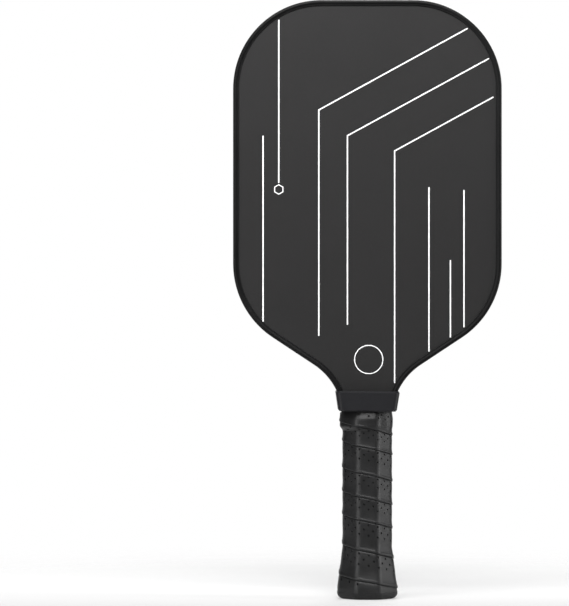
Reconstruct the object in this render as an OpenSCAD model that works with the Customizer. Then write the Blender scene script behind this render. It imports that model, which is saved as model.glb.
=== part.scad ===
// Pickleball paddle: a honeycomb panel with carbon faces, an edge guard round the head,
// and an octagonal handle of two foam pads under a wrapped grip, a butt cap and a collar.
// It stands on the butt end, with the front face towards -Y and the head at +Z.

/* [Head] */
// Overall length, from the butt end to the top edge
paddle_l = 419; // [345:1:510]
// Width of the head over the edge guard
head_w = 188; // [155:1:226]
// Radius of the two top corners
corner_r = 62; // [30:1:75]
// Radius where each side turns into its shoulder
shoulder_r = 62; // [30:1:75]
// Slope of the shoulders, in degrees from level
shoulder_slope = 33.5; // [28:0.5:42]
// Radius of the hollow curve from shoulder to handle
neck_r = 45; // [36:1:55]
// Drop of the neck curve's lower end below the collar
neck_drop = 5.2; // [3:0.1:8]

/* [Panel] */
// Thickness of the honeycomb core
core_t = 14.4; // [10:0.1:18]
// Distance between the centres of neighbouring cells
cell_pitch = 8; // [6.5:0.1:12]
// Wall between two cells
cell_wall = 0.4; // [0.3:0.05:0.8]
// Least solid border between the outer cells and the panel's edge
core_border = 0.8; // [0.5:0.1:3]
// Thickness of the fleece scrim on each side of the core
scrim_t = 0.2; // [0.1:0.05:0.5]
// Thickness of each carbon face sheet
sheet_t = 0.6; // [0.3:0.05:1.2]

/* [Edge guard] */
// Thickness of the guard's outer wall
guard_web = 1.3; // [0.8:0.1:2.5]
// Reach of the guard's lips over the faces, from the outer edge
guard_lip = 4.2; // [3:0.1:8]
// Thickness of the lips at their root
guard_skin = 1.2; // [0.8:0.1:2]
// Thickness of the lips at their free edge
lip_edge = 0.6; // [0.3:0.1:0.8]
// Rounding of the guard's outer corners
guard_round = 1.6; // [0.5:0.1:2]
// Thickness of the tape that bonds the guard to the panel
bond_t = 0.2; // [0.1:0.05:0.4]

/* [Handle] */
// Height of the collar's lower edge above the butt end
handle_l = 131.4; // [105:0.1:160]
// Width of the bare handle
handle_w = 31.4; // [26:0.1:38]
// Depth of the bare handle, front to back
handle_d = 27.4; // [22:0.1:33]
// Size of the handle's four bevels
handle_bevel = 9.5; // [6:0.1:10.5]
// Thickness of the tape that bonds each pad to its face sheet
pad_bond_t = 0.15; // [0.1:0.05:0.4]

/* [Grip] */
// Thickness of the cushioned grip tape
grip_t = 1.75; // [1:0.05:3]
// Thickness of the grip's sticky backing
backing_t = 0.15; // [0.1:0.05:0.4]
// Thickness of the finishing tape round the grip's upper end
finish_t = 0.2; // [0.1:0.05:0.4]
// Length of the grip that goes up inside the collar
grip_tuck = 4.6; // [3:0.1:7]

/* [Collar] */
// Height of the collar
collar_h = 14; // [10:0.5:20]
// Thickness of the collar over the finishing tape
collar_wall = 2.65; // [1.5:0.05:4]
// Least thickness of the collar beside the edge guard at the top
collar_lip = 0.8; // [0.5:0.1:2]
// Thickness of the collar's top above the pads
collar_top = 2.4; // [1:0.1:4]
// Rounding of the collar's four corners
collar_corner = 3.5; // [3:0.5:12]
// Bevel along the collar's two rims
collar_bevel = 1; // [0.3:0.1:2]

/* [Butt] */
// How far the butt flares out on every side
flare_out = 3.6; // [1:0.1:6]
// Height where the flare starts
flare_top = 36; // [32:0.5:50]
// Height where the flare is full
flare_low = 8; // [6:0.5:14]
// Height of the butt cap's rim below the grip
rim_h = 5; // [3:0.1:6]
// Rounding of the rim's lower edge
rim_round = 4.5; // [1:0.1:5]
// Height of the butt cap's skirt under the grip
skirt_h = 30; // [20:0.5:31]
// Thickness of the butt cap's floor
cap_floor = 3.5; // [2:0.1:6]
// Width of the blank end badge
badge_w = 24; // [10:0.5:26]
// Depth of the end badge, front to back
badge_d = 20; // [10:0.5:22]
// Bevel of the end badge's corners
badge_bevel = 6; // [2:0.5:8]
// Thickness of the end badge
badge_t = 0.8; // [0.4:0.1:1.5]
// How far the badge lies inside the butt end
badge_sink = 0.2; // [0.1:0.05:0.5]

/* [Staples] */
// Width of a staple's crown
crown_w = 5; // [3:0.5:5]
// Thickness of the staple wire
wire = 0.7; // [0.4:0.1:1]
// Leg length of the staples that hold the butt cap
cap_leg = 8; // [4:0.5:8.5]
// Leg length of the staple that holds the start of the grip
grip_leg = 3.4; // [2:0.1:3.5]
// Height of the butt cap's staples
cap_staple_z = 16; // [10:0.5:24]
// Least distance from a staple to the edge of its face, and between staples
staple_edge = 0.3; // [0.2:0.1:1]
// Height of the grip's staple
grip_staple_z = 12; // [9:0.5:20]

/* [Clearances] */
// Clearance between pieces that are pushed together
fit = 0.1; // [0.05:0.05:0.3]
// Gap between ends that meet inside the collar
seam = 0.3; // [0.1:0.1:0.6]

/* [Hidden] */

// Angles of one step round the outline's arcs and round a small rounding.
arc_step = 4;
edge_step = 22.5;
// Size of the blocks that cut or keep everything on one side.
far = 600;
// Depth by which parts of one solid run into each other, or a cut runs past a face.
lap = 1;
// Thickness of the slices that a hull is drawn over.
thin = 0.01;
half_w = head_w / 2;
panel_half = core_t / 2 + scrim_t + sheet_t;
panel_inset = guard_web + bond_t;
guard_half = panel_half + guard_skin;
wrap_t = grip_t + backing_t;
grip_top = handle_l + grip_tuck;
guard_end = grip_top + seam;
collar_z = handle_l + collar_h;
pad_top = collar_z - collar_top;

// Centres and tangent points of the outline's right side, as [x, z].
// The neck curve starts on the handle's side, so the head follows the handle's height and width.
corner_c = [half_w - corner_r, paddle_l - corner_r];
neck_c = [handle_w / 2 + panel_inset + neck_r, handle_l - neck_drop];
neck_p = [neck_c[0] - neck_r * sin(shoulder_slope), neck_c[1] + neck_r * cos(shoulder_slope)];
shoulder_x = half_w - shoulder_r + shoulder_r * sin(shoulder_slope);
shoulder_p = [shoulder_x, neck_p[1] + (shoulder_x - neck_p[0]) * tan(shoulder_slope)];
shoulder_c = [half_w - shoulder_r, shoulder_p[1] + shoulder_r * cos(shoulder_slope)];
neck_arc = 90 - shoulder_slope;

function angles(from, to, step = arc_step) =
  let (n = max(2, ceil(abs(to - from) / step))) [for (i = [0 : n]) from + (to - from) * i / n];
function arc(c, r, from, to, step = arc_step) =
  [for (a = angles(from, to, step)) c + r * [cos(a), sin(a)]];
function mirrored(pts) = [for (i = [len(pts) - 1 : -1 : 0]) [-pts[i][0], pts[i][1]]];

// Half width of the head over the guard at a height on the neck curve.
function neck_x(z) = neck_c[0] - sqrt(pow(neck_r, 2) - pow(z - neck_c[1], 2));

// Octagon of a handle section grown by g on every face.
function oct(w, d, b, g = 0) =
  let (x = w / 2 + g, y = d / 2 + g, c = b + g * (2 - sqrt(2)))
  [[x, c - y], [x, y - c], [x - c, y], [c - x, y], [-x, y - c], [-x, c - y], [c - x, -y], [x - c, -y]];

// Outward flare of the butt at a height.
function flare(z) = flare_out * min(1, max(0, (flare_top - z) / (flare_top - flare_low)));

// Head and tongue in the X-Z plane, inset from the guard's outer edge, down to the height low.
module outline(inset, low) {
  right = concat(
    [[neck_c[0] - neck_r - inset, 0]],
    arc(neck_c, neck_r + inset, 180, 180 - neck_arc),
    arc(shoulder_c, shoulder_r - inset, -neck_arc, 0),
    arc(corner_c, corner_r - inset, 0, 90)
  );
  intersection() {
    polygon(concat(right, mirrored(right)));
    translate([-far / 2, low]) square(far);
  }
}

// Turns a drawing in the X-Z plane into a slab between two depths.
module slab(y0, y1) {
  translate([0, y1, 0]) rotate([90, 0, 0]) linear_extrude(y1 - y0) children();
}

module prism(pts, z0, z1) {
  translate([0, 0, z0]) linear_extrude(z1 - z0) polygon(pts);
}

module bare_handle(g, z0, z1) {
  prism(oct(handle_w, handle_d, handle_bevel, g), z0, z1);
}

// Solid through a stack of rings with as many points each, which run anticlockwise round the way.
module skin(rings) {
  n = len(rings[0]);
  last = (len(rings) - 1) * n;
  sides = [for (i = [0 : len(rings) - 2], j = [0 : n - 1])
    [i * n + j, (i + 1) * n + j, (i + 1) * n + (j + 1) % n, i * n + (j + 1) % n]];
  ends = [[for (j = [0 : n - 1]) j], [for (j = [n - 1 : -1 : 0]) last + j]];
  polyhedron([for (ring = rings) each ring], concat(sides, ends));
}

// The handle with its flared butt, grown by g on every face, with its lower edge rounded by r.
module flared_handle(g, z0, z1, r = 0) {
  heights = [for (z = [flare_low, flare_top]) if (z > z0 + r && z < z1) z];
  steps = concat(
    r > 0 ? [for (a = angles(-90, 0, edge_step / 2)) [flare(z0) - r + r * cos(a), z0 + r + r * sin(a)]]
          : [[flare(z0), z0]],
    [for (z = concat(heights, [z1])) [flare(z), z]]
  );
  skin([for (s = steps) [for (p = oct(handle_w, handle_d, handle_bevel, g + s[0])) [p[0], p[1], s[1]]]]);
}

// What the grip is wound on, grown by g: the butt cap's skirt and the bare handle above it.
module grip_seat(g, low, top) {
  union() {
    flared_handle(g, low, skirt_h + g);
    bare_handle(g, low, top);
  }
}

// The panel keeps its full section above the grip and is milled to the octagon below it.
module panel_layer(y0, y1) {
  intersection() {
    slab(y0, y1) outline(panel_inset, cap_floor);
    union() {
      bare_handle(0, cap_floor, grip_top);
      translate([-far / 2, -far / 2, grip_top]) cube(far);
    }
  }
}

// True where a cell centred at [x, z] keeps the border to the panel's edge.
function cell_fits(x, z) =
  let (
    m = panel_inset + core_border + (cell_pitch - cell_wall) / sqrt(3),
    p = [abs(x), z],
    milled_x = handle_w / 2 + panel_inset - max(0, core_t / 2 - (handle_d / 2 - handle_bevel)),
    along = [cos(shoulder_slope), sin(shoulder_slope)],
    out = [sin(shoulder_slope), -cos(shoulder_slope)],
    low = z < shoulder_c[1],
    past_shoulder = (p - shoulder_c) * along < 0,
    past_slope = (p - neck_c) * along < 0
  )
  z > cap_floor + m && z < paddle_l - m && p[0] < half_w - m
  && (z > grip_top + m || p[0] < milled_x - m)
  && (z < corner_c[1] || p[0] < corner_c[0] || norm(p - corner_c) < corner_r - m)
  && (!low || past_shoulder || norm(p - shoulder_c) < shoulder_r - m)
  && (!low || past_slope || (p - shoulder_p) * out < -m)
  && (!past_slope || norm(p - neck_c) > neck_r + m);

module honeycomb_cells() {
  row_h = cell_pitch * sqrt(3) / 2;
  for (row = [0 : floor(paddle_l / row_h)], col = [-ceil(half_w / cell_pitch) : ceil(half_w / cell_pitch)]) {
    x = (col + (row % 2) / 2) * cell_pitch;
    z = row * row_h;
    if (cell_fits(x, z)) translate([x, z]) rotate(30) circle(r = (cell_pitch - cell_wall) / sqrt(3), $fn = 6);
  }
}

module honeycomb_core() {
  color("#e8e4d8")
  intersection() {
    slab(-core_t / 2, core_t / 2) difference() {
      outline(panel_inset, cap_floor);
      honeycomb_cells();
    }
    union() {
      bare_handle(0, cap_floor, grip_top);
      translate([-far / 2, -far / 2, grip_top]) cube(far);
    }
  }
}

module front_scrim() {
  color("#d8d8d4") panel_layer(-core_t / 2 - scrim_t, -core_t / 2);
}

module back_scrim() {
  color("#d8d8d4") panel_layer(core_t / 2, core_t / 2 + scrim_t);
}

module front_face_sheet() {
  color("#3a393a") panel_layer(-panel_half, -panel_half + sheet_t);
}

module back_face_sheet() {
  color("#3a393a") panel_layer(panel_half - sheet_t, panel_half);
}

module guard_bond_tape() {
  color("#c8c4b8") slab(-core_t / 2, core_t / 2) difference() {
    outline(guard_web, guard_end);
    outline(panel_inset, guard_end - lap);
  }
}

// Section of the guard: X runs in from the outer edge, Y through the thickness.
function guard_section() =
  let (
    bend = guard_half - guard_round,
    upper = concat(
      [[guard_web, panel_half], [guard_lip, panel_half], [guard_lip, panel_half + lip_edge]],
      arc([guard_round, bend], guard_round, 90, 180, edge_step)
    )
  )
  concat([for (i = [len(upper) - 1 : -1 : 0]) [upper[i][0], -upper[i][1]]], upper);

// Places round an arc, each a point of the outer edge and the way in; dir is 1 where the panel lies outside.
function stations(c, r, from, to, dir) =
  [for (a = angles(from, to)) [c + r * [cos(a), sin(a)], dir * [cos(a), sin(a)]]];

// The left half runs up from the neck to the top, and the right half is its mirror image.
module edge_guard() {
  left = concat(
    stations([-neck_c[0], neck_c[1]], neck_r, 0, neck_arc, 1),
    stations([-shoulder_c[0], shoulder_c[1]], shoulder_r, 180 + neck_arc, 180, -1),
    stations([-corner_c[0], corner_c[1]], corner_r, 180, 90, -1)
  );
  right = [for (i = [len(left) - 1 : -1 : 0]) [for (v = left[i]) [-v[0], v[1]]]];
  color("#222122") difference() {
    skin([for (s = concat(left, right))
      [for (q = guard_section()) [s[0][0] + s[1][0] * q[0], q[1], s[0][1] + s[1][1] * q[0]]]]);
    translate([0, 0, guard_end - far / 2]) cube(far, center = true);
  }
}

module pad_section(y0, y1, z0, z1) {
  translate([0, 0, z0]) linear_extrude(z1 - z0) intersection() {
    polygon(oct(handle_w, handle_d, handle_bevel));
    translate([-far / 2, y0]) square([far, y1 - y0]);
  }
}

module front_pad_bond() {
  color("#c8c4b8") pad_section(-panel_half - pad_bond_t, -panel_half, cap_floor, pad_top);
}

module back_pad_bond() {
  color("#c8c4b8") pad_section(panel_half, panel_half + pad_bond_t, cap_floor, pad_top);
}

module front_handle_pad() {
  color("#4a4a4a") difference() {
    pad_section(-handle_d / 2, -panel_half - pad_bond_t, cap_floor, pad_top);
    cap_staples(0);
  }
}

module back_handle_pad() {
  color("#4a4a4a") difference() {
    pad_section(panel_half + pad_bond_t, handle_d / 2, cap_floor, pad_top);
    cap_staples(0);
  }
}

// Staple with its crown's outer face at Y = 0 and its legs towards -Y; open extends the crown outwards.
module staple(leg, open) {
  translate([-crown_w / 2, -wire, -wire / 2]) cube([crown_w, wire + open, wire]);
  for (x = [-crown_w / 2, crown_w / 2 - wire]) translate([x, -leg, -wire / 2]) cube([wire, leg, wire]);
}

// Two staples on the cap's front and back where the flat is wide enough for both, or else one.
module cap_staples(open) {
  crown_y = handle_d / 2 + flare(cap_staple_z + wire / 2);
  side_x = handle_w / 2 - handle_bevel - staple_edge - crown_w / 2;
  places = side_x > (crown_w + staple_edge) / 2 ? [-side_x, side_x] : [0];
  for (turn = [0, 180], x = places)
    rotate(turn) translate([x, crown_y, cap_staple_z]) staple(cap_leg, open);
}

module grip_staple() {
  crown_x = handle_w / 2 + flare(grip_staple_z) + backing_t + grip_t / 2;
  rotate(-90) translate([0, crown_x, grip_staple_z]) staple(grip_leg, 0);
}

module badge_plate(g, z0, z1) {
  prism(oct(badge_w, badge_d, badge_bevel, g), z0, z1);
}

module butt_cap() {
  color("#262626") difference() {
    union() {
      flared_handle(wrap_t, 0, rim_h, min(rim_round, rim_h - lap / 2));
      flared_handle(0, rim_h - lap, skirt_h);
    }
    bare_handle(fit, cap_floor, skirt_h + lap);
    badge_plate(fit, -lap, badge_sink + badge_t);
    cap_staples(lap);
    grip_staple();
  }
}

module butt_cap_staples() {
  color("#b9bcc0") cap_staples(0);
}

module end_badge() {
  color("#303030") badge_plate(0, badge_sink, badge_sink + badge_t);
}

module grip_backing() {
  color("#8f8a80") difference() {
    grip_seat(backing_t, rim_h, grip_top);
    grip_seat(0, rim_h - lap, grip_top + lap);
    grip_staple();
  }
}

module grip_start_staple() {
  color("#b9bcc0") grip_staple();
}

module grip_tape() {
  color("#343434") difference() {
    flared_handle(wrap_t, rim_h, grip_top);
    grip_seat(backing_t, rim_h - lap, grip_top + lap);
    grip_staple();
  }
}

module finishing_tape() {
  color("#1c1c1c") difference() {
    bare_handle(wrap_t + finish_t, handle_l + seam, grip_top);
    bare_handle(wrap_t, handle_l, grip_top + lap);
  }
}

// Rounded plan of the collar as a thin slice.
module collar_slice(x, y, z) {
  translate([0, 0, z]) linear_extrude(thin) for (sx = [-1, 1], sy = [-1, 1])
    translate([sx * (x - collar_corner), sy * (y - collar_corner)]) circle(collar_corner, $fn = 48);
}

module collar_block() {
  low_x = handle_w / 2 + wrap_t + finish_t + collar_wall;
  top_x = neck_x(collar_z) + collar_lip;
  y = handle_d / 2 + wrap_t + finish_t + collar_wall;
  hull() {
    collar_slice(low_x - collar_bevel, y - collar_bevel, handle_l);
    collar_slice(low_x, y, handle_l + collar_bevel);
    collar_slice(top_x, y, collar_z - collar_bevel);
    collar_slice(top_x - collar_bevel / 2, y - collar_bevel, collar_z - thin);
  }
}

module grip_collar() {
  color("#2b2b2e") difference() {
    collar_block();
    bare_handle(wrap_t + finish_t, handle_l - lap, grip_top + seam / 2);
    bare_handle(fit, grip_top, pad_top + fit);
    slab(-panel_half - fit, panel_half + fit) outline(-fit, grip_top);
    slab(-guard_half - fit, guard_half + fit) difference() {
      outline(-fit, grip_top);
      outline(guard_lip + fit, grip_top - lap);
    }
  }
}

honeycomb_core();
front_scrim();
back_scrim();
front_face_sheet();
back_face_sheet();
guard_bond_tape();
edge_guard();
front_pad_bond();
back_pad_bond();
front_handle_pad();
back_handle_pad();
butt_cap();
butt_cap_staples();
end_badge();
grip_backing();
grip_start_staple();
grip_tape();
finishing_tape();
grip_collar();
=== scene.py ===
from math import asin, cos, pi, radians, sin

import bpy
import bmesh
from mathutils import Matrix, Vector


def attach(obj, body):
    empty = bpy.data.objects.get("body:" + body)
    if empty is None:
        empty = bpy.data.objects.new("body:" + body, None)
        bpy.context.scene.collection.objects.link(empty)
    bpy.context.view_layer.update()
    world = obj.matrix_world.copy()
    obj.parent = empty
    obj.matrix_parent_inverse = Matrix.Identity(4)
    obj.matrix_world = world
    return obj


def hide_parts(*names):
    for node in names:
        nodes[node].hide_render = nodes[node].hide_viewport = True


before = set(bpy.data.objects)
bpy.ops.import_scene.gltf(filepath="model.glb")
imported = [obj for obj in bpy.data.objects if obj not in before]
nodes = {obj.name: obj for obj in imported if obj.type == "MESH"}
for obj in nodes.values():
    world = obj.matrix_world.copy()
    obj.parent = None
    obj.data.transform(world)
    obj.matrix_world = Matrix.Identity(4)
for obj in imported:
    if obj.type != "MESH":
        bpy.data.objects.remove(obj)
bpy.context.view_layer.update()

scene = bpy.context.scene
print("frame loaded:", len(nodes), "nodes")


# helpers for selecting, editing and finishing a piece
def deselectAll():
    if bpy.context.object and bpy.context.object.mode != "OBJECT":
        bpy.ops.object.mode_set(mode="OBJECT")
    bpy.ops.object.select_all(action="DESELECT")


def makeActive(piece):
    deselectAll()
    piece.select_set(True)
    bpy.context.view_layer.objects.active = piece


def openEdit(piece, mode="VERT"):
    makeActive(piece)
    bpy.ops.object.mode_set(mode="EDIT")
    bpy.ops.mesh.select_mode(type=mode)
    bpy.ops.mesh.select_all(action="DESELECT")
    return bmesh.from_edit_mesh(piece.data)


def closeEdit():
    bpy.ops.object.mode_set(mode="OBJECT")


def applyAll(piece):
    makeActive(piece)
    for modifier in list(piece.modifiers):
        bpy.ops.object.modifier_apply(modifier=modifier.name)


def fixNormals(piece, mergeDistance=0.00001):
    openEdit(piece)
    bpy.ops.mesh.select_all(action="SELECT")
    bpy.ops.mesh.remove_doubles(threshold=mergeDistance)
    bpy.ops.mesh.normals_make_consistent(inside=False)
    closeEdit()


def joinPieces(pieces, name):
    deselectAll()
    for piece in pieces:
        piece.select_set(True)
    bpy.context.view_layer.objects.active = pieces[0]
    if len(pieces) > 1:
        bpy.ops.object.join()
    pieces[0].name = name
    pieces[0].data.name = name
    return pieces[0]


def finishPiece(piece, name, material, standsFor=(), smoothAngle=35, evenFlats=False):
    makeActive(piece)
    bpy.ops.object.transform_apply(location=True, rotation=True, scale=True)
    bpy.ops.object.shade_smooth_by_angle(angle=radians(smoothAngle))
    if evenFlats:
        # large flats keep their own normal, so only the eased edges shade round
        flats = piece.modifiers.new("evenFlats", "WEIGHTED_NORMAL")
        flats.keep_sharp = True
        applyAll(piece)
    piece.name = name
    piece.data.name = name
    if material:
        piece.data.materials.clear()
        piece.data.materials.append(material)
    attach(piece, "root")
    if standsFor:
        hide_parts(*standsFor)
    print("piece:", name, len(piece.data.polygons), "faces")


cameraPlace = {
    "eye": (-0.058, -2.7, 0.207),
    "pictureHeight": 0.425,  # what the picture takes in at the paddle's middle
    "sensor": 36,
}
cameraData = bpy.data.cameras.new("camera")
camera = bpy.data.objects.new("camera", cameraData)
scene.collection.objects.link(camera)
camera.location = cameraPlace["eye"]
camera.rotation_euler = (pi / 2, 0, 0)
cameraData.sensor_width = cameraPlace["sensor"]
cameraData.lens = cameraPlace["sensor"] * -cameraPlace["eye"][1] / cameraPlace["pictureHeight"]
cameraData.clip_end = 50
scene.camera = camera


# effects that several materials share, and the helpers that wire them
def newGroup(name, inputs, outputs):
    group = bpy.data.node_groups.new(name, "ShaderNodeTree")
    for label, kind, value in inputs:
        socket = group.interface.new_socket(name=label, in_out="INPUT", socket_type=kind)
        if value is not None:
            socket.default_value = value
    for label, kind in outputs:
        group.interface.new_socket(name=label, in_out="OUTPUT", socket_type=kind)
    inside = group.nodes.new("NodeGroupInput")
    outside = group.nodes.new("NodeGroupOutput")
    return group, inside.outputs, outside.inputs


def fillSockets(tree, made, links):
    for socket, value in links:
        if isinstance(value, bpy.types.NodeSocket):
            tree.links.new(value, made.inputs[socket])
        else:
            made.inputs[socket].default_value = value
    return made


def addNode(tree, kind, links=(), **values):
    made = tree.nodes.new(kind)
    for key, value in values.items():
        setattr(made, key, value)
    return fillSockets(tree, made, links)


def makeGrainGroup():
    # a fine pebbled surface: a height, its normal, and a slow drift of tone over the piece
    group, given, out = newGroup(
        "fineGrain",
        [
            ("Vector", "NodeSocketVector", None),
            ("Pebble Scale", "NodeSocketFloat", 1500.0),
            ("Noise Scale", "NodeSocketFloat", 3000.0),
            ("Drift Scale", "NodeSocketFloat", 25.0),
            ("Pebbles", "NodeSocketFloat", 0.5),
            ("Depth", "NodeSocketFloat", 0.00002),
        ],
        [("Normal", "NodeSocketVector"), ("Grain", "NodeSocketFloat"), ("Drift", "NodeSocketFloat")],
    )
    pebbles = addNode(group, "ShaderNodeTexVoronoi", [("Vector", given["Vector"]), ("Scale", given["Pebble Scale"])],
                      feature="SMOOTH_F1")
    noise = addNode(group, "ShaderNodeTexNoise", [("Vector", given["Vector"]), ("Scale", given["Noise Scale"]),
                                                  ("Detail", 3.0), ("Roughness", 0.6)])
    mixed = addNode(group, "ShaderNodeMix", [(0, given["Pebbles"]), (2, noise.outputs[0]), (3, pebbles.outputs[0])])
    bump = addNode(group, "ShaderNodeBump", [("Strength", 1.0), ("Distance", given["Depth"]),
                                             ("Height", mixed.outputs[0])])
    drift = addNode(group, "ShaderNodeTexNoise", [("Vector", given["Vector"]), ("Scale", given["Drift Scale"]),
                                                  ("Detail", 4.0)])
    group.links.new(bump.outputs[0], out["Normal"])
    group.links.new(mixed.outputs[0], out["Grain"])
    group.links.new(drift.outputs[0], out["Drift"])
    return group


def makeWeaveGroup():
    # two crossing sets of threads, as peel cloth leaves them in a cured face
    group, given, out = newGroup(
        "clothPrint",
        [
            ("Vector", "NodeSocketVector", None),
            ("Thread Scale", "NodeSocketFloat", 420.0),
            ("Depth", "NodeSocketFloat", 0.00002),
            ("Grit Scale", "NodeSocketFloat", 2600.0),
        ],
        [("Normal", "NodeSocketVector"), ("Threads", "NodeSocketFloat"), ("Grit", "NodeSocketFloat")],
    )
    across = addNode(group, "ShaderNodeTexWave", [("Vector", given["Vector"]), ("Scale", given["Thread Scale"]),
                                                  ("Distortion", 0.6), ("Detail Scale", 0.2)],
                     wave_type="BANDS", bands_direction="X")
    upward = addNode(group, "ShaderNodeTexWave", [("Vector", given["Vector"]), ("Scale", given["Thread Scale"]),
                                                  ("Distortion", 0.6), ("Detail Scale", 0.2)],
                     wave_type="BANDS", bands_direction="Z")
    threads = addNode(group, "ShaderNodeMath", [(0, across.outputs["Fac"]), (1, upward.outputs["Fac"])],
                      operation="MAXIMUM")
    grit = addNode(group, "ShaderNodeTexNoise", [("Vector", given["Vector"]), ("Scale", given["Grit Scale"]),
                                                 ("Detail", 4.0), ("Roughness", 0.7)])
    height = addNode(group, "ShaderNodeMix", [(0, 0.55), (2, threads.outputs[0]), (3, grit.outputs[0])])
    bump = addNode(group, "ShaderNodeBump", [("Strength", 1.0), ("Distance", given["Depth"]),
                                             ("Height", height.outputs[0])])
    group.links.new(bump.outputs[0], out["Normal"])
    group.links.new(threads.outputs[0], out["Threads"])
    group.links.new(grit.outputs[0], out["Grit"])
    return group


def makeScuffGroup():
    # sparse pale rubs and dust, a mask
    group, given, out = newGroup(
        "lightScuffs",
        [
            ("Vector", "NodeSocketVector", None),
            ("Scale", "NodeSocketFloat", 60.0),
            ("Cover", "NodeSocketFloat", 0.6),
        ],
        [("Mask", "NodeSocketFloat")],
    )
    noise = addNode(group, "ShaderNodeTexNoise", [("Vector", given["Vector"]), ("Scale", given["Scale"]),
                                                  ("Detail", 8.0), ("Roughness", 0.75)])
    mask = addNode(group, "ShaderNodeMapRange", [("Value", noise.outputs[0]), ("From Min", given["Cover"]),
                                                 ("From Max", 0.85)], clamp=True)
    group.links.new(mask.outputs[0], out["Mask"])
    return group


grainGroup = makeGrainGroup()
weaveGroup = makeWeaveGroup()
scuffGroup = makeScuffGroup()


def useGroup(tree, group, links):
    made = tree.nodes.new("ShaderNodeGroup")
    made.node_tree = group
    return fillSockets(tree, made, links)


def newMaterial(name, color, roughness, **sockets):
    material = bpy.data.materials.new(name)
    material.use_nodes = True
    tree = material.node_tree
    shader = tree.nodes["Principled BSDF"]
    shader.inputs["Base Color"].default_value = (*color, 1)
    shader.inputs["Roughness"].default_value = roughness
    for label, value in sockets.items():
        shader.inputs[label.replace("_", " ")].default_value = value
    material.diffuse_color = (*color, 1)
    return material, tree, shader


def toneBetween(tree, factor, low, high):
    tone = addNode(tree, "ShaderNodeMix", [(0, factor), (6, (*low, 1)), (7, (*high, 1))], data_type="RGBA")
    return tone.outputs[2]


def spread(tree, value, low, high, fromLow=0.3, fromHigh=0.7):
    mapped = addNode(tree, "ShaderNodeMapRange", [("Value", value), ("From Min", fromLow), ("From Max", fromHigh),
                                                  ("To Min", low), ("To Max", high)], clamp=True)
    return mapped.outputs[0]


def objectPoint(tree):
    return tree.nodes.new("ShaderNodeTexCoord").outputs["Object"]


coating = {
    "scuffScale": 90.0,
    "scuffBrighten": 1.8,
    "smoother": 0.05,
    "rougher": 0.07,
}


def grainyMaterial(name, low, high, roughness, pebbleScale, noiseScale, depth, pebbles=0.5,
                   driftScale=25.0, scuffCover=0.72, scuffColor=None, **sockets):
    # moulded, cast or coated stuff: pebbled bump, drifting tone and roughness, a few pale rubs
    material, tree, shader = newMaterial(name, low, roughness, **sockets)
    point = objectPoint(tree)
    grain = useGroup(tree, grainGroup, [("Vector", point), ("Pebble Scale", pebbleScale),
                                        ("Noise Scale", noiseScale), ("Drift Scale", driftScale),
                                        ("Pebbles", pebbles), ("Depth", depth)])
    scuffs = useGroup(tree, scuffGroup, [("Vector", point), ("Scale", coating["scuffScale"]), ("Cover", scuffCover)])
    base = toneBetween(tree, spread(tree, grain.outputs["Drift"], 0, 1), low, high)
    rubbed = scuffColor or tuple(min(1, coating["scuffBrighten"] * part) for part in high)
    worn = addNode(tree, "ShaderNodeMix", [(0, scuffs.outputs[0]), (6, base), (7, (*rubbed, 1))], data_type="RGBA")
    tree.links.new(worn.outputs[2], shader.inputs["Base Color"])
    tree.links.new(spread(tree, grain.outputs["Drift"], roughness - coating["smoother"],
                          roughness + coating["rougher"]), shader.inputs["Roughness"])
    tree.links.new(grain.outputs["Normal"], shader.inputs["Normal"])
    return material


def faceMaterial(name, settings):
    material, tree, shader = newMaterial(name, settings["color"], settings["roughness"])
    shader.inputs["Specular IOR Level"].default_value = settings["specular"]
    point = objectPoint(tree)
    weave = useGroup(tree, weaveGroup, [("Vector", point), ("Thread Scale", settings["threadScale"]),
                                        ("Depth", settings["depth"]), ("Grit Scale", settings["gritScale"])])
    grain = useGroup(tree, grainGroup, [("Vector", point), ("Drift Scale", settings["driftScale"])])
    tone = toneBetween(tree, spread(tree, grain.outputs["Drift"], 0, 1), settings["color"], settings["brighter"])
    flecked = spread(tree, weave.outputs["Grit"], 0, settings["fleckShare"], *settings["fleckRange"])
    flecks = addNode(tree, "ShaderNodeMix", [(0, flecked), (6, tone), (7, (*settings["fleck"], 1))],
                     data_type="RGBA")
    tree.links.new(flecks.outputs[2], shader.inputs["Base Color"])
    tree.links.new(spread(tree, weave.outputs["Threads"], settings["roughness"] - settings["smoother"],
                          settings["roughness"] + settings["rougher"], 0, 1), shader.inputs["Roughness"])
    tree.links.new(weave.outputs["Normal"], shader.inputs["Normal"])
    return material


carbonFace = {
    "color": (0.0054, 0.0051, 0.0052),
    "brighter": (0.0072, 0.0068, 0.007),
    "fleck": (0.045, 0.044, 0.045),
    "fleckShare": 0.35,
    "fleckRange": (0.5, 0.8),
    "roughness": 0.58,
    "smoother": 0.04,
    "rougher": 0.05,
    "specular": 0.35,
    "threadScale": 420.0,
    "gritScale": 2600.0,
    "driftScale": 18.0,
    "depth": 0.000022,
}
carbonMaterial = faceMaterial("carbonFace", carbonFace)
guardMaterial = grainyMaterial(
    "edgeGuardPlastic", low=(0.0025, 0.0025, 0.0026), high=(0.004, 0.004, 0.0042), roughness=0.42,
    pebbleScale=1900.0, noiseScale=4200.0, depth=0.000012,
    pebbles=0.3, Specular_IOR_Level=0.16,
)
gripMaterial = grainyMaterial(
    "gripLeather", low=(0.0042, 0.0042, 0.0044), high=(0.008, 0.008, 0.0084), roughness=0.42,
    pebbleScale=2300.0, noiseScale=5200.0, depth=0.00006,
    pebbles=0.75, driftScale=60.0, Specular_IOR_Level=0.4,
)
# painted shade: the walls and floors of the grip's holes are coloured darker and rougher than the grip itself, on
# top of the real shade in the wells
gripHoleShadeMaterial = grainyMaterial(
    "gripHoleWallPaintedShade", low=(0.0015, 0.0015, 0.0015), high=(0.003, 0.003, 0.003), roughness=0.9,
    pebbleScale=2300.0, noiseScale=5200.0, depth=0.00002,
)
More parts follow.
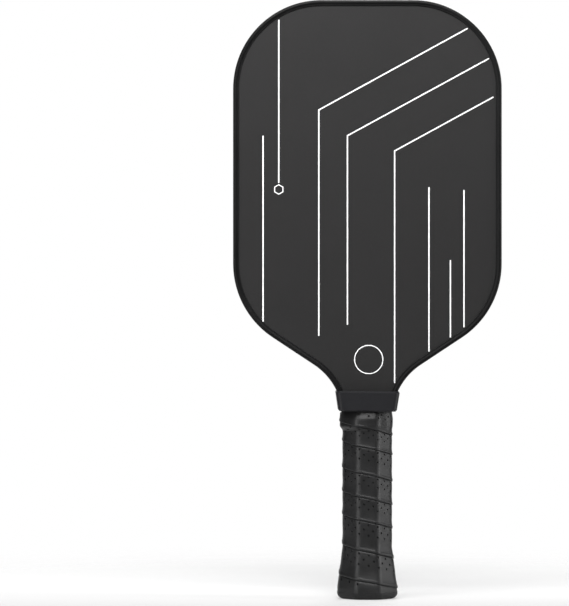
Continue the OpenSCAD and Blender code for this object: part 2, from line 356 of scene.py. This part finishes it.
collarMaterial = grainyMaterial(
    "collarRubber", low=(0.0045, 0.0045, 0.0062), high=(0.007, 0.007, 0.0088), roughness=0.48,
    pebbleScale=2600.0, noiseScale=6000.0, depth=0.00001,
    pebbles=0.25, Specular_IOR_Level=0.28,
)
capMaterial = grainyMaterial(
    "buttCapPlastic", low=(0.007, 0.007, 0.0074), high=(0.0105, 0.0105, 0.011), roughness=0.44,
    pebbleScale=1500.0, noiseScale=3800.0, depth=0.000015,
    Specular_IOR_Level=0.28,
)
badgeMaterial = grainyMaterial(
    "endBadgeVinyl", low=(0.035, 0.035, 0.036), high=(0.045, 0.045, 0.046), roughness=0.55,
    pebbleScale=3000.0, noiseScale=6500.0, depth=0.00002,
    pebbles=0.85,
)
foamMaterial = grainyMaterial(
    "handleFoam", low=(0.06, 0.06, 0.06), high=(0.085, 0.085, 0.085), roughness=0.85,
    pebbleScale=700.0, noiseScale=2400.0, depth=0.00012,
    pebbles=0.9,
)
bondMaterial = grainyMaterial(
    "bondTape", low=(0.55, 0.53, 0.45), high=(0.64, 0.62, 0.54), roughness=0.7,
    pebbleScale=900.0, noiseScale=3000.0, depth=0.00003,
    scuffColor=(0.42, 0.4, 0.34),
)
backingMaterial = grainyMaterial(
    "gripBacking", low=(0.25, 0.24, 0.22), high=(0.31, 0.3, 0.28), roughness=0.8,
    pebbleScale=1800.0, noiseScale=4200.0, depth=0.00004,
)
finishTapeMaterial = grainyMaterial(
    "finishingTape", low=(0.013, 0.013, 0.013), high=(0.018, 0.018, 0.018), roughness=0.35,
    pebbleScale=2600.0, noiseScale=6000.0, depth=0.000008,
)
scrimMaterial = grainyMaterial(
    "whiteScrim", low=(0.7, 0.7, 0.68), high=(0.78, 0.78, 0.76), roughness=0.85,
    pebbleScale=800.0, noiseScale=2600.0, depth=0.00005,
    scuffColor=(0.6, 0.6, 0.58),
)
coreMaterial = grainyMaterial(
    "cellPolymer", low=(0.74, 0.72, 0.66), high=(0.82, 0.8, 0.74), roughness=0.4,
    pebbleScale=500.0, noiseScale=1600.0, depth=0.00002,
    scuffColor=(0.88, 0.87, 0.83), Subsurface_Weight=0.2,
)
inkMaterial = grainyMaterial(
    "whitePrint", low=(0.92, 0.92, 0.92), high=(0.96, 0.96, 0.96), roughness=0.42,
    pebbleScale=2600.0, noiseScale=5200.0, depth=0.000012,
    pebbles=0.2, driftScale=120.0, scuffCover=0.76, scuffColor=(0.7, 0.7, 0.7),
)
steelMaterial = grainyMaterial(
    "stapleSteel", low=(0.6, 0.61, 0.63), high=(0.68, 0.69, 0.71), roughness=0.32,
    pebbleScale=4000.0, noiseScale=9000.0, depth=0.000006,
    scuffColor=(0.45, 0.45, 0.46), Metallic=1.0,
)

nodeMaterials = {
    "honeycomb_core": coreMaterial,
    "front_scrim": scrimMaterial,
    "back_scrim": scrimMaterial,
    "front_face_sheet": carbonMaterial,
    "back_face_sheet": carbonMaterial,
    "guard_bond_tape": bondMaterial,
    "edge_guard": guardMaterial,
    "front_pad_bond": bondMaterial,
    "back_pad_bond": bondMaterial,
    "front_handle_pad": foamMaterial,
    "back_handle_pad": foamMaterial,
    "butt_cap": capMaterial,
    "butt_cap_staples": steelMaterial,
    "end_badge": badgeMaterial,
    "grip_backing": backingMaterial,
    "grip_start_staple": steelMaterial,
    "grip_tape": gripMaterial,
    "finishing_tape": finishTapeMaterial,
    "grip_collar": collarMaterial,
}
for nodeName, material in nodeMaterials.items():
    for place in nodes[nodeName].material_slots:
        place.material = material
print("materials made:", len(bpy.data.materials))


# edge guard: one section carried round half of the head, then mirrored
guard = {
    "corner": (0.032, 0.357, 0.062),  # centre across, centre up, radius
    "shoulder": (0.032, 0.2345, 0.062),
    "neck": (0.0622, 0.1262, 0.045),
    "shoulderTurn": radians(56.5),
    "lowEnd": 0.1363,
    "web": 0.0013,
    "panelHalf": 0.008,
    "cornerSteps": 32,
    "shoulderSteps": 22,
    "neckSteps": 16,
    # how far in from the outer edge, how far out from the middle of the panel, in mm
    "section": [(4.12, 8.0), (4.2, 8.12), (4.2, 8.42), (4.08, 8.66), (3.86, 8.78), (3.6, 8.76), (3.3, 8.74),
                (2.95, 8.84), (2.55, 8.98), (2.15, 9.09), (1.75, 9.14), (1.35, 9.1), (0.95, 8.94), (0.6, 8.66),
                (0.32, 8.24), (0.13, 7.65), (0.03, 6.9), (0.0, 6.0), (0.0, 3.0)],
}


def guardRing():
    upper = [(guard["web"], guard["panelHalf"])] + [(a / 1000, b / 1000) for a, b in guard["section"]]
    lower = [(a, -b) for a, b in reversed(upper)]
    return upper + [(0.0, 0.0)] + lower


def makeEdgeGuard():
    ring = guardRing()
    top = guard["corner"][1] + guard["corner"][2]
    bpy.ops.mesh.primitive_circle_add(vertices=len(ring), radius=0.01, fill_type="NOTHING")
    piece = bpy.context.object
    for corner, (inset, out) in zip(piece.data.vertices, ring):
        corner.co = (0, out, top - inset)
    openEdit(piece, "EDGE")
    bpy.ops.mesh.select_all(action="SELECT")
    cornerX, cornerZ, _ = guard["corner"]
    shoulderX, shoulderZ, shoulderR = guard["shoulder"]
    neckX, neckZ, neckR = guard["neck"]
    turn = guard["shoulderTurn"]
    lowAngle = asin((guard["lowEnd"] - neckZ) / neckR)
    bpy.ops.mesh.extrude_edges_move(TRANSFORM_OT_translate={"value": (-cornerX, 0, 0)})
    bpy.ops.mesh.spin(steps=guard["cornerSteps"], angle=pi / 2, center=(-cornerX, 0, cornerZ), axis=(0, 1, 0))
    bpy.ops.mesh.extrude_edges_move(TRANSFORM_OT_translate={"value": (0, 0, shoulderZ - cornerZ)})
    bpy.ops.mesh.spin(steps=guard["shoulderSteps"], angle=turn, center=(-shoulderX, 0, shoulderZ), axis=(0, 1, 0))
    slopeStart = Vector((-shoulderX - shoulderR * cos(turn), 0, shoulderZ - shoulderR * sin(turn)))
    slopeEnd = Vector((-neckX + neckR * cos(turn), 0, neckZ + neckR * sin(turn)))
    bpy.ops.mesh.extrude_edges_move(TRANSFORM_OT_translate={"value": slopeEnd - slopeStart})
    bpy.ops.mesh.spin(steps=guard["neckSteps"], angle=lowAngle - turn, center=(-neckX, 0, neckZ), axis=(0, 1, 0))
    bpy.ops.mesh.edge_face_add()
    closeEdit()
    mirror = piece.modifiers.new("otherHalf", "MIRROR")
    mirror.use_axis = (True, False, False)
    mirror.merge_threshold = 0.00002
    applyAll(piece)
    fixNormals(piece)
    finishPiece(piece, "edgeGuardRim", guardMaterial, ["edge_guard"], smoothAngle=50)


makeEdgeGuard()


# printed stripes and outlines on both faces
facePrint = {
    "width": 0.0009,
    "proud": 0.00005,
    "surface": 0.008,
    # each stripe's corners, across and up from the butt, in mm: plain uprights, and three nested with one bend
    "stripes": [
        [(-73, 194), (-73, 324)],
        [(-62, 291), (-62, 405)],
        [(70, 399), (-34, 342), (-34, 184)],
        [(85, 378), (-14, 324), (-14, 192)],
        [(88, 351), (19, 313.3), (19, 151)],
        [(43, 173), (43, 288)],
        [(58, 183), (58, 237)],
        [(67.5, 190), (67.5, 286)],
    ],
    "cell": (-62, 286.4),
    "cellRadius": 0.0037,
    "cellSides": 6,
    "outlineWidth": 0.00066,
    "ring": (0.9, 167.5),
    "ringRadius": 0.0102,
    "ringSides": 96,
    "mitreLeast": 0.2,  # keeps a sharp bend's point from running out
}


def stripeSides(path):
    # the two edges of a stripe along a bent path, mitred at its corners
    points = [Vector(p) / 1000 for p in path]
    sides = []
    for i, point in enumerate(points):
        before = (point - points[i - 1]).normalized() if i else None
        after = (points[i + 1] - point).normalized() if i + 1 < len(points) else None
        along = ((before or after) + (after or before)).normalized()
        across = Vector((-along.y, along.x))
        straight = before or after
        slant = abs(across.dot(Vector((-straight.y, straight.x))))
        reach = facePrint["width"] / 2 / max(facePrint["mitreLeast"], slant)
        sides.append((point + across * reach, point - across * reach))
    return sides


def makeStripe(path):
    sides = stripeSides(path)
    bpy.ops.mesh.primitive_grid_add(x_subdivisions=len(path) - 1, y_subdivisions=1, size=2)
    stripe = bpy.context.object
    last = len(path) - 1
    for corner in stripe.data.vertices:
        step = round((corner.co.x + 1) / 2 * last)
        x, z = sides[step][0 if corner.co.y > 0 else 1]
        corner.co = (x, -facePrint["surface"], z)
    return stripe


def makeOutline(centre, radius, corners):
    # a flat ring with straight or round sides, lying on the front face
    bpy.ops.mesh.primitive_circle_add(vertices=corners, radius=radius, fill_type="NGON")
    ring = bpy.context.object
    openEdit(ring, "FACE")
    bpy.ops.mesh.select_all(action="SELECT")
    bpy.ops.mesh.inset(thickness=facePrint["outlineWidth"])
    bpy.ops.mesh.delete(type="FACE")
    closeEdit()
    for corner in ring.data.vertices:
        corner.co = (centre[0] / 1000 + corner.co.x, -facePrint["surface"], centre[1] / 1000 + corner.co.y)
    return ring


def makeFrontPrint():
    flat = [makeStripe(path) for path in facePrint["stripes"]]
    flat.append(makeOutline(facePrint["cell"], facePrint["cellRadius"], facePrint["cellSides"]))
    flat.append(makeOutline(facePrint["ring"], facePrint["ringRadius"], facePrint["ringSides"]))
    piece = joinPieces(flat, "frontPrint")
    openEdit(piece, "FACE")
    bpy.ops.mesh.select_all(action="SELECT")
    bpy.ops.mesh.extrude_region_move(TRANSFORM_OT_translate={"value": (0, -facePrint["proud"], 0)})
    closeEdit()
    fixNormals(piece, 0.000001)
    return piece


def turnedCopy(piece, name):
    makeActive(piece)
    bpy.ops.object.duplicate(linked=False)
    other = bpy.context.object
    other.name = name
    other.rotation_euler = (0, 0, pi)
    bpy.ops.object.transform_apply(location=True, rotation=True, scale=True)
    return other


frontPrint = makeFrontPrint()
backPrint = turnedCopy(frontPrint, "backPrint")
finishPiece(frontPrint, "frontPrint", inkMaterial, smoothAngle=20)
finishPiece(backPrint, "backPrint", inkMaterial, smoothAngle=20)


# the bare handle that the grip is wound on
handle = {
    "width": 0.0314,
    "depth": 0.0274,
    "bevel": 0.0095,
    "edgeRound": 0.0068,
    "wrapThick": 0.0019,
    "flareOut": 0.0036,
    "flareLow": 0.008,
    "flareTop": 0.036,
}


def flareAt(z):
    share = min(1, max(0, (handle["flareTop"] - z) / (handle["flareTop"] - handle["flareLow"])))
    return handle["flareOut"] * share


def octagon(grow):
    x = handle["width"] / 2 + grow
    y = handle["depth"] / 2 + grow
    leg = handle["bevel"] + grow * (2 - 2 ** 0.5)
    return [Vector(p) for p in ((-x, y - leg), (-x, leg - y), (leg - x, -y), (x - leg, -y),
                                (x, leg - y), (x, y - leg), (x - leg, y), (leg - x, y))]


def handlePoint(around, grow):
    # around goes 0 to 1 from the left side by the front and the right side back to the left
    radius = handle["edgeRound"]
    nominal = octagon(handle["wrapThick"] - radius)
    turnLength = radius * pi / 4
    flats = [(nominal[(i + 1) % 8] - nominal[i]).length for i in range(8)]
    total = sum(flats) + 8 * turnLength
    way = (around % 1) * total + flats[0] / 2
    corners = octagon(grow - radius)
    for i in range(9):
        start, end = corners[i % 8], corners[(i + 1) % 8]
        angle = pi + i * pi / 4
        if way <= flats[i % 8]:
            place = start.lerp(end, way / flats[i % 8])
            return place + radius * Vector((cos(angle), sin(angle)))
        way -= flats[i % 8]
        if way <= turnLength:
            turned = angle + pi / 4 * way / turnLength
            return end + radius * Vector((cos(turned), sin(turned)))
        way -= turnLength
    return corners[1]


grip = {
    "columns": 96,
    "low": 0.005,
    "high": 0.135,
    "surface": 0.00155,  # over the bare handle, between the laps
    "inner": 0.0002,
    # height of each turn's lower edge at the left side, in mm
    "laps": [-31, -7, 17.6, 38.6, 59.6, 75.8, 92.4, 111, 124.6, 141, 159],
    "frontDrop": 0.0108,  # how far a lap falls from the left side to the right side
    # across one turn: share of its height, and how far the surface stands out, in mm
    "profile": [(0, -0.34), (0.004, 0.05), (0.012, 0.34), (0.028, 0.5), (0.055, 0.55), (0.085, 0.53), (0.102, 0.36),
                (0.13, 0.27), (0.19, 0.17), (0.26, 0.07), (0.34, 0.01), (0.4, 0.0)],
    "plainRows": 11,
    "lastShare": 0.985,  # where a turn's last row lies, just under the next lap
    "puff": 0.00014,  # how far the padding stands out between two laps
    "tuck": 0.00012,  # how far the last row dips under the next lap
    "holeRows": (1, 4, 7),
    "holeEvery": 6,
    "holeShift": 3,  # columns by which every second row is set over
    "holeWiden": 0.22,  # how much a column or row of holes takes from its neighbour
    "holeLow": 0.011,
    "holeHigh": 0.1295,
    "holeInset": 0.00002,
    "holeCorner": 0.00036,
    "holeDepth": 0.0009,
    "wellInset": 0.00006,
    "wellDip": 0.00005,
    "mergeDistance": 0.00002,
    "swellLow": 0.1175,
    "swellHigh": 0.1312,
    "swell": 0.0024,
    "swellMiddle": 0.14,  # share of the way round where it stands out most
    "swellLeast": 0.25,  # share of it that is left on the far side
    "swellClimb": 0.28,  # share of its height that the climb takes
    "swellFall": 0.38,  # share that the fall takes in front
    "swellSquare": 0.34,  # how much of that fall the square shoulder on the left takes away
    "squareTurn": 0.02,  # how far round from the left side that shoulder sits
    "squareTight": 6,
    "calmHeight": 0.0015,
}


def turnRows():
    # share of a turn's height and standing out for every row of faces in one turn
    rows = [(share, out / 1000) for share, out in grip["profile"]]
    first = rows[-1][0]
    count = grip["plainRows"]
    for i in range(1, count):
        widened = i + (grip["holeWiden"] if i % 3 == 0 else 0)
        share = first + (grip["lastShare"] - first) * widened / (count - 1)
        rows.append((share, grip["puff"] * sin(pi * i / count) - (grip["tuck"] if i == count - 1 else 0)))
    return rows


def lapEdge(turn, around):
    laps = grip["laps"]
    left, below = laps[turn] / 1000, laps[turn - 1] / 1000
    right = left - grip["frontDrop"]
    return left + (right - left) * 2 * around if around < 0.5 else right + (below - right) * (2 * around - 1)


def swellAt(z, around):
    # the last turn lies over the strip's cut end, so it stands out under the collar
    low, high = grip["swellLow"], grip["swellHigh"]
    if not low < z < high:
        return 0
    share = (z - low) / (high - low)
    side = max(0, cos(2 * pi * (around - grip["swellMiddle"])))
    square = max(0, cos(2 * pi * (around + grip["squareTurn"]))) ** grip["squareTight"]
    climb = min(1, share / grip["swellClimb"])
    fall = min(1, (1 - share) / (grip["swellFall"] - grip["swellSquare"] * square))
    height = grip["swell"] * (grip["swellLeast"] + (1 - grip["swellLeast"]) * side)
    return height * climb * climb * (3 - 2 * climb) * fall


def wrapPoint(turn, share, out, around):
    z = lapEdge(turn, around) + share * (lapEdge(turn + 1, around) - lapEdge(turn, around))
    calm = min(1, max(0, (grip["swellHigh"] - z) / grip["calmHeight"]))  # flat where the collar covers it
    grow = grip["surface"] + out * calm + flareAt(z) + swellAt(z, around)
    x, y = handlePoint(around, grow)
    return x, y, z


def makeGripWrap():
    rows = turnRows()
    turns = range(1, len(grip["laps"]) - 1)
    levels = [(turn, share, out) for turn in turns for share, out in rows]
    columns = grip["columns"]
    bpy.ops.mesh.primitive_grid_add(x_subdivisions=columns, y_subdivisions=len(levels) - 1, size=2)
    wrap = bpy.context.object
    place = {}
    for corner in wrap.data.vertices:
        column = round((corner.co.x + 1) / 2 * columns)
        row = round((corner.co.y + 1) / 2 * (len(levels) - 1))
        place[corner.index] = (column, row)
        corner.co = wrapPoint(*levels[row], (column + (grip["holeWiden"] if column % 3 == 1 else 0)) / columns)
    wrap.data.materials.append(gripMaterial)
    # second slot: the painted-shade colour of the holes
    wrap.data.materials.append(gripHoleShadeMaterial)
    firstPlain = len(grip["profile"])
    for face in wrap.data.polygons:
        column = min(place[i][0] for i in face.vertices)
        row = min(place[i][1] for i in face.vertices)
        plain = row % len(rows) - firstPlain
        if plain not in grip["holeRows"] or not grip["holeLow"] < face.center.z < grip["holeHigh"]:
            continue
        shift = grip["holeRows"].index(plain) % 2 * grip["holeShift"]
        if (column + shift) % grip["holeEvery"] == 0:
            face.material_index = 1
    openEdit(wrap)
    bpy.ops.mesh.select_all(action="SELECT")
    bpy.ops.mesh.remove_doubles(threshold=grip["mergeDistance"])
    bpy.ops.mesh.select_all(action="SELECT")
    bpy.ops.mesh.bisect(plane_co=(0, 0, grip["low"]), plane_no=(0, 0, 1), clear_inner=True)
    bpy.ops.mesh.select_all(action="SELECT")
    bpy.ops.mesh.bisect(plane_co=(0, 0, grip["high"]), plane_no=(0, 0, 1), clear_outer=True)
    closeEdit()
    return wrap


def punchHoles(wrap):
    # each marked face becomes a round-cornered well
    openEdit(wrap, "FACE")
    wrap.active_material_index = 1
    bpy.ops.object.material_slot_select()
    bpy.ops.mesh.inset(use_individual=True, thickness=grip["holeInset"])
    mesh = bmesh.from_edit_mesh(wrap.data)
    rims = [face for face in mesh.faces if face.material_index == 1 and not face.select]
    for face in rims:
        face.material_index = 0
    bpy.ops.mesh.select_mode(type="VERT")
    bpy.ops.mesh.bevel(offset=grip["holeCorner"], segments=1, affect="VERTICES")
    mesh = bmesh.from_edit_mesh(wrap.data)
    bpy.ops.mesh.select_mode(type="FACE")
    for face in mesh.faces:
        face.select = face.material_index == 1 and len(face.verts) == 8
        if not face.select:
            face.material_index = 0
    mesh.select_flush_mode()
    bmesh.update_edit_mesh(wrap.data)
    bpy.ops.mesh.inset(use_individual=True, thickness=grip["wellInset"], depth=-grip["wellDip"])
    bpy.ops.mesh.extrude_faces_move(TRANSFORM_OT_shrink_fatten={"value": -grip["holeDepth"]})
    closeEdit()


def addInnerWall(wrap):
    columns = grip["columns"]
    levels = (grip["high"], handle["flareTop"], handle["flareLow"], grip["low"])
    bpy.ops.mesh.primitive_circle_add(vertices=columns, radius=0.01, fill_type="NOTHING")
    wall = bpy.context.object
    openEdit(wall, "EDGE")
    for level in levels[1:]:
        bpy.ops.mesh.select_all(action="DESELECT")
        mesh = bmesh.from_edit_mesh(wall.data)
        lowest = min(corner.co.z for corner in mesh.verts)
        for edge in mesh.edges:
            edge.select = all(abs(corner.co.z - lowest) < 1e-6 for corner in edge.verts)
        mesh.select_flush_mode()
        bpy.ops.mesh.extrude_edges_move(TRANSFORM_OT_translate={"value": (0, 0, -1)})
    closeEdit()
    places = {}
    for corner in wall.data.vertices:
        level = levels[round(-corner.co.z)]
        around = (round((Vector((corner.co.x, corner.co.y)).angle_signed(Vector((-1, 0)))) / (2 * pi) * columns)
                  / columns) % 1
        x, y = handlePoint(around, grip["inner"] + flareAt(level))
        places[corner.index] = (x, y, level)
    for corner in wall.data.vertices:
        corner.co = places[corner.index]
    whole = joinPieces([wrap, wall], "gripWrap")
    for level in (grip["low"], grip["high"]):
        mesh = openEdit(whole, "EDGE")
        for edge in mesh.edges:
            edge.select = edge.is_boundary and all(abs(corner.co.z - level) < 1e-5 for corner in edge.verts)
        mesh.select_flush_mode()
        bpy.ops.mesh.bridge_edge_loops()
        closeEdit()
    fixNormals(whole, 0.000001)
    return whole


gripWrap = makeGripWrap()
punchHoles(gripWrap)
gripWrap = addInnerWall(gripWrap)
finishPiece(gripWrap, "gripWrap", None, ["grip_tape"], smoothAngle=55)


# moulded pieces are the CAD solids with their edges eased
moulded = {
    "collarEase": 0.00045,
    "collarTilt": radians(0.6),
    "capEase": 0.0026,
    "capCornerTop": 0.0051,  # the rim's upright corners reach up to here
    "capCornerReach": 0.0135,  # and lie at least this far from the middle
    "capCornerWidth": 0.0026,
    "badgeEase": 0.00015,
    "sharpAngle": radians(24),
    "flatAngle": radians(0.5),
}


def roundUprights(piece, top, reach, width):
    mesh = openEdit(piece, "EDGE")
    for edge in mesh.edges:
        a, b = (corner.co for corner in edge.verts)
        edge.select = abs(a.z - b.z) > 1e-5 and max(a.z, b.z) < top and min(a.xy.length, b.xy.length) > reach
    mesh.select_flush_mode()
    bpy.ops.mesh.bevel(offset=width, segments=5, affect="EDGES")
    closeEdit()


def easedCopy(nodeName, name, material, width, segments=3, tilt=0.0, uprights=None):
    deselectAll()
    mesh = nodes[nodeName].data.copy()
    piece = bpy.data.objects.new(name, mesh)
    scene.collection.objects.link(piece)
    openEdit(piece)
    bpy.ops.mesh.select_all(action="SELECT")
    bpy.ops.mesh.remove_doubles(threshold=0.000002)
    bpy.ops.mesh.dissolve_limited(angle_limit=moulded["flatAngle"])
    closeEdit()
    if uprights:
        roundUprights(piece, *uprights)
    bevel = piece.modifiers.new("easedEdges", "BEVEL")
    bevel.width = width
    bevel.segments = segments
    bevel.limit_method = "ANGLE"
    bevel.angle_limit = moulded["sharpAngle"]
    applyAll(piece)
    if tilt:
        middle = sum((corner.co for corner in piece.data.vertices), Vector()) / len(piece.data.vertices)
        piece.rotation_euler = (0, tilt, 0)
        piece.location = middle - piece.rotation_euler.to_matrix() @ middle
    finishPiece(piece, name, material, [nodeName], smoothAngle=32, evenFlats=True)


easedCopy("grip_collar", "gripCollarMoulded", collarMaterial, moulded["collarEase"],
          tilt=moulded["collarTilt"])
easedCopy("butt_cap", "buttCapMoulded", capMaterial, moulded["capEase"],
          uprights=(moulded["capCornerTop"], moulded["capCornerReach"], moulded["capCornerWidth"]))
easedCopy("end_badge", "endBadgePlate", badgeMaterial, moulded["badgeEase"], segments=2)


# floor, backdrop and lamps
studio = {
    "floorSize": 6.0,
    "floorGap": 0.0002,
    "floorFade": (0.12, 0.6),
    "floorGlow": 0.4,  # share of plain white that only the camera sees in the floor
    # painted shade: the floor's colour is darker towards the front and paler towards the back
    "floorFrontShade": 0.62,
    "floorBack": 0.95,
    "floorShadeTurn": (-0.06, 0.1),  # where the floor's painted shade goes from the darker front tone to the paler back one
    "fill": 0.12,
    "glossFill": 0.055,
    "whiteBehind": (0.35, 0.9),  # how far back a shiny surface has to look to see the white backdrop
    "lamps": {
        # place, aimed at, size across, size up, watts
        "topSoftbox": ((-0.1, -0.42, 0.84), (0, 0, 0.36), 0.8, 0.25, 6.6),
        "highFront": ((0.05, -1.35, 1.05), (0, 0, 0.15), 0.45, 0.3, 8),
        "rightSoftbox": ((1.38, -0.3, 0.3), (0, 0, 0.12), 0.36, 1.3, 14),
        "leftStrip": ((-0.93, -0.98, 0.2), (0, 0, 0.08), 0.75, 1.0, 9),
        "backFill": ((0.4, 1.8, 1.3), (0, 0, 0.25), 1.2, 1.2, 24),
    },
}


def makeFloor():
    bpy.ops.mesh.primitive_plane_add(size=studio["floorSize"], location=(0, 0, -studio["floorGap"]))
    floor = bpy.context.object
    floor.name = "floor"
    material, tree, shader = newMaterial("paleFloor", (0.93, 0.93, 0.93), 0.6, Specular_IOR_Level=0.0)
    near, far = studio["floorFade"]
    point = objectPoint(tree)
    away = addNode(tree, "ShaderNodeVectorMath", [(0, point)], operation="LENGTH")
    seen = addNode(tree, "ShaderNodeMapRange", [("Value", away.outputs["Value"]), ("From Min", near),
                                                ("From Max", far), ("To Min", 1.0), ("To Max", 0.0)],
                   clamp=True, interpolation_type="SMOOTHSTEP")
    below = tree.nodes.new("ShaderNodeNewGeometry").outputs["Backfacing"]
    seen = addNode(tree, "ShaderNodeMath", [(0, seen.outputs[0]), (1, below)], operation="SUBTRACT", use_clamp=True)
    rays = tree.nodes.new("ShaderNodeLightPath")
    glow = addNode(tree, "ShaderNodeMath", [(0, rays.outputs["Is Camera Ray"]), (1, studio["floorGlow"])],
                   operation="MULTIPLY")
    depth = addNode(tree, "ShaderNodeSeparateXYZ", [(0, point)])
    front, back = studio["floorShadeTurn"]
    # painted shade: floor colour blended by depth from the darker front tone to the paler back tone
    paintedFloorShade = addNode(tree, "ShaderNodeMapRange", [("Value", depth.outputs["Y"]), ("From Min", front),
                                                    ("From Max", back),
                                                    ("To Min", studio["floorFrontShade"]),
                                                    ("To Max", studio["floorBack"])], clamp=True)
    tree.links.new(paintedFloorShade.outputs[0], shader.inputs["Base Color"])
    white = addNode(tree, "ShaderNodeEmission", [("Color", (1, 1, 1, 1)), ("Strength", 1.0)])
    pale = addNode(tree, "ShaderNodeMixShader", [(0, glow.outputs[0]), (1, shader.outputs[0]),
                                                 (2, white.outputs[0])])
    clear = tree.nodes.new("ShaderNodeBsdfTransparent")
    blend = tree.nodes.new("ShaderNodeMixShader")
    tree.links.new(seen.outputs[0], blend.inputs[0])
    tree.links.new(clear.outputs[0], blend.inputs[1])
    tree.links.new(pale.outputs[0], blend.inputs[2])
    tree.links.new(blend.outputs[0], tree.nodes["Material Output"].inputs["Surface"])
    floor.data.materials.append(material)


def makeWorld():
    world = bpy.data.worlds.new("studioWorld")
    scene.world = world
    world.use_nodes = True
    tree = world.node_tree
    tree.nodes.clear()
    rays = tree.nodes.new("ShaderNodeLightPath")
    way = tree.nodes.new("ShaderNodeTexCoord").outputs["Generated"]
    parts = addNode(tree, "ShaderNodeSeparateXYZ", [(0, way)])
    start, full = studio["whiteBehind"]
    behind = addNode(tree, "ShaderNodeMapRange", [("Value", parts.outputs["Y"]), ("From Min", start),
                                                  ("From Max", full)], clamp=True)
    shiny = addNode(tree, "ShaderNodeMath", [(0, rays.outputs["Is Glossy Ray"]),
                                             (1, rays.outputs["Is Transmission Ray"])], operation="MAXIMUM")
    shinyBehind = addNode(tree, "ShaderNodeMath", [(0, shiny.outputs[0]), (1, behind.outputs[0])],
                          operation="MULTIPLY")
    white = addNode(tree, "ShaderNodeMath", [(0, rays.outputs["Is Camera Ray"]), (1, shinyBehind.outputs[0])],
                    operation="MAXIMUM")
    dim = addNode(tree, "ShaderNodeMapRange", [("Value", shiny.outputs[0]), ("To Min", studio["fill"]),
                                               ("To Max", studio["glossFill"])])
    fill = addNode(tree, "ShaderNodeBackground", [("Color", (1, 1, 1, 1)), ("Strength", dim.outputs[0])])
    backdrop = addNode(tree, "ShaderNodeBackground", [("Color", (1, 1, 1, 1)), ("Strength", 1.0)])
    blend = tree.nodes.new("ShaderNodeMixShader")
    out = tree.nodes.new("ShaderNodeOutputWorld")
    tree.links.new(white.outputs[0], blend.inputs[0])
    tree.links.new(fill.outputs[0], blend.inputs[1])
    tree.links.new(backdrop.outputs[0], blend.inputs[2])
    tree.links.new(blend.outputs[0], out.inputs["Surface"])


def makeLamps():
    for name, (place, target, across, up, watts) in studio["lamps"].items():
        lampData = bpy.data.lights.new(name, "AREA")
        lampData.shape = "RECTANGLE"
        lampData.size = across
        lampData.size_y = up
        lampData.energy = watts
        lamp = bpy.data.objects.new(name, lampData)
        lamp.visible_camera = False
        scene.collection.objects.link(lamp)
        lamp.location = place
        lamp.rotation_euler = (Vector(target) - Vector(place)).to_track_quat("-Z", "Y").to_euler()


makeFloor()
makeWorld()
makeLamps()
scene.view_settings.view_transform = "Standard"
print("studio set")

bpy.context.view_layer.update()
